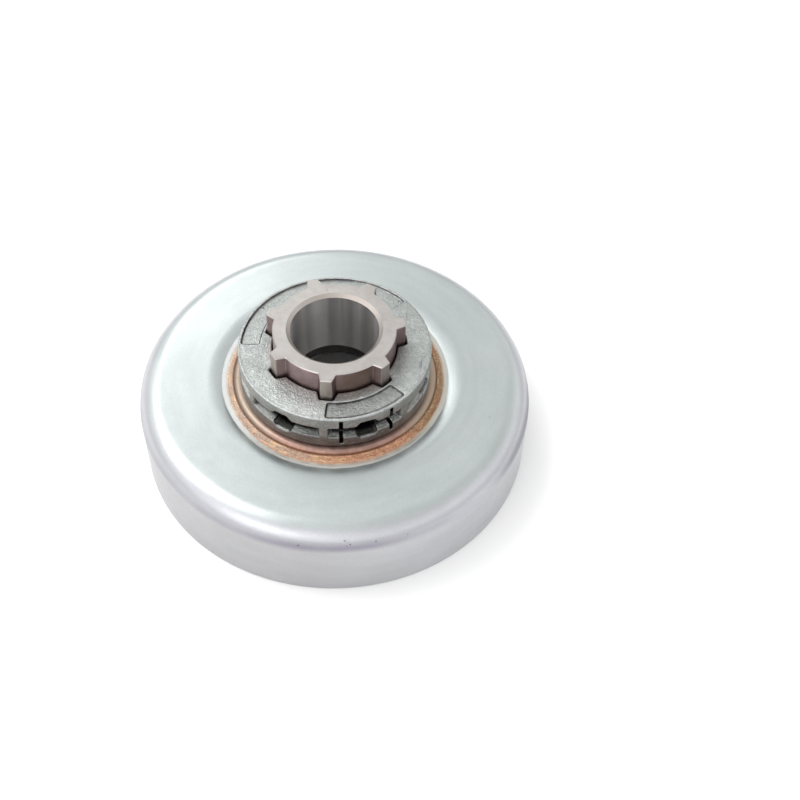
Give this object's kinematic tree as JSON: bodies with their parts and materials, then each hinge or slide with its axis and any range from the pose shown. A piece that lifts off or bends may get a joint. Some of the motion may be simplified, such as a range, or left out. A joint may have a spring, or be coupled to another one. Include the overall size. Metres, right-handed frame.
{
  "type": "chainsaw sprocket",
  "caption": "Steel clutch drum with a splined hub brazed into its dished face, and a cast rim sprocket that floats on the splines and drives a saw chain.",
  "frame": {"origin": "centre of the drum's open rim, on the plane that the drum stands on", "axes": "+Z along the spin axis, from the drum's open side to the sprocket; +X to the right and +Y away from the viewer in the picture"},
  "size_m": [0.077, 0.077, 0.0301],
  "materials": {
    "zinc_plate": "satin, bright zinc plating",
    "hub_steel": "machined, faintly coppered",
    "copper_braze": "as brazed, grainy",
    "cast_steel": "as cast, fine pebbled skin"
  },
  "bodies": {
    "drum": {"clutch_drum": "zinc_plate", "splined_hub": "hub_steel", "braze_ring": "copper_braze"},
    "rim": {"rim_sprocket": "cast_steel"}
  },
  "joints": [
    {"name": "rim_float", "type": "slide", "parent": "drum", "child": "rim", "axis": [0, 0, 1], "range_m": [0, 0.0045]}
  ]
}
